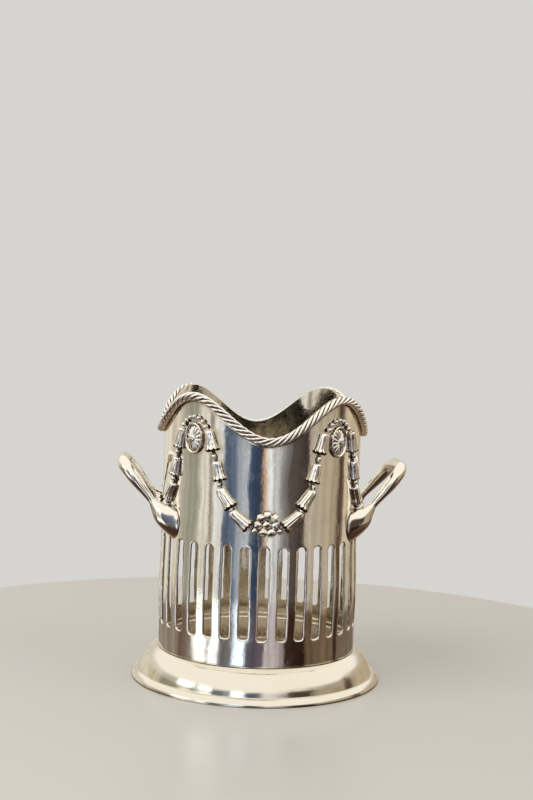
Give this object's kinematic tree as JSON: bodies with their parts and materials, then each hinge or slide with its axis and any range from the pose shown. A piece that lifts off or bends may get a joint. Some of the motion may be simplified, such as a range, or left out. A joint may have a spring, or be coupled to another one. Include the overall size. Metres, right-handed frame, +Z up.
{
  "type": "champagne bottle stand",
  "caption": "Pierced silver-plated cylindrical stand for a champagne bottle, with a waved rope-edged rim, loop handles, cast garlands and a spun round foot.",
  "frame": {"origin": "centre of the foot's underside, on the surface that the stand rests on", "axes": "+Z up along the sleeve's axis; -Y is the front, a dip of the waved rim with a whole festoon; the two handles point along +X and -X"},
  "size_m": [0.158, 0.1366, 0.1584],
  "materials": {
    "sleeve_silver": "polished silver plate with fine wiping scratches, water spots and light tarnish at the slots",
    "rope_silver": "silver plate, bright on the strands and brown with tarnish between them",
    "foot_silver": "polished silver plate with a warm, slightly yellow tone and turning marks",
    "pan_silver": "worn silver plate, dull where bottles stand",
    "handle_silver": "polished cast silver plate, warm towards the crown",
    "casting_silver": "bright cast relief with dark tarnish in the recesses"
  },
  "bodies": {
    "root": {"sleeve": "sleeve_silver", "rope_border": "rope_silver", "foot": "foot_silver", "floor_pan": "pan_silver", "handle_right": "handle_silver", "handle_left": "handle_silver", "rosette_front_right": "casting_silver", "rosette_back_right": "casting_silver", "rosette_back_left": "casting_silver", "rosette_front_left": "casting_silver", "bead_crest_front_right": "casting_silver", "bead_crest_back_right": "casting_silver", "bead_crest_back_left": "casting_silver", "bead_crest_front_left": "casting_silver", "garland_front_right": "casting_silver", "garland_front_left": "casting_silver", "garland_right_back": "casting_silver", "garland_right_front": "casting_silver", "garland_back_left": "casting_silver", "garland_back_right": "casting_silver", "garland_left_front": "casting_silver", "garland_left_back": "casting_silver", "berries_front": "casting_silver", "berries_right": "casting_silver", "berries_back": "casting_silver", "berries_left": "casting_silver"}
  },
  "joints": []
}
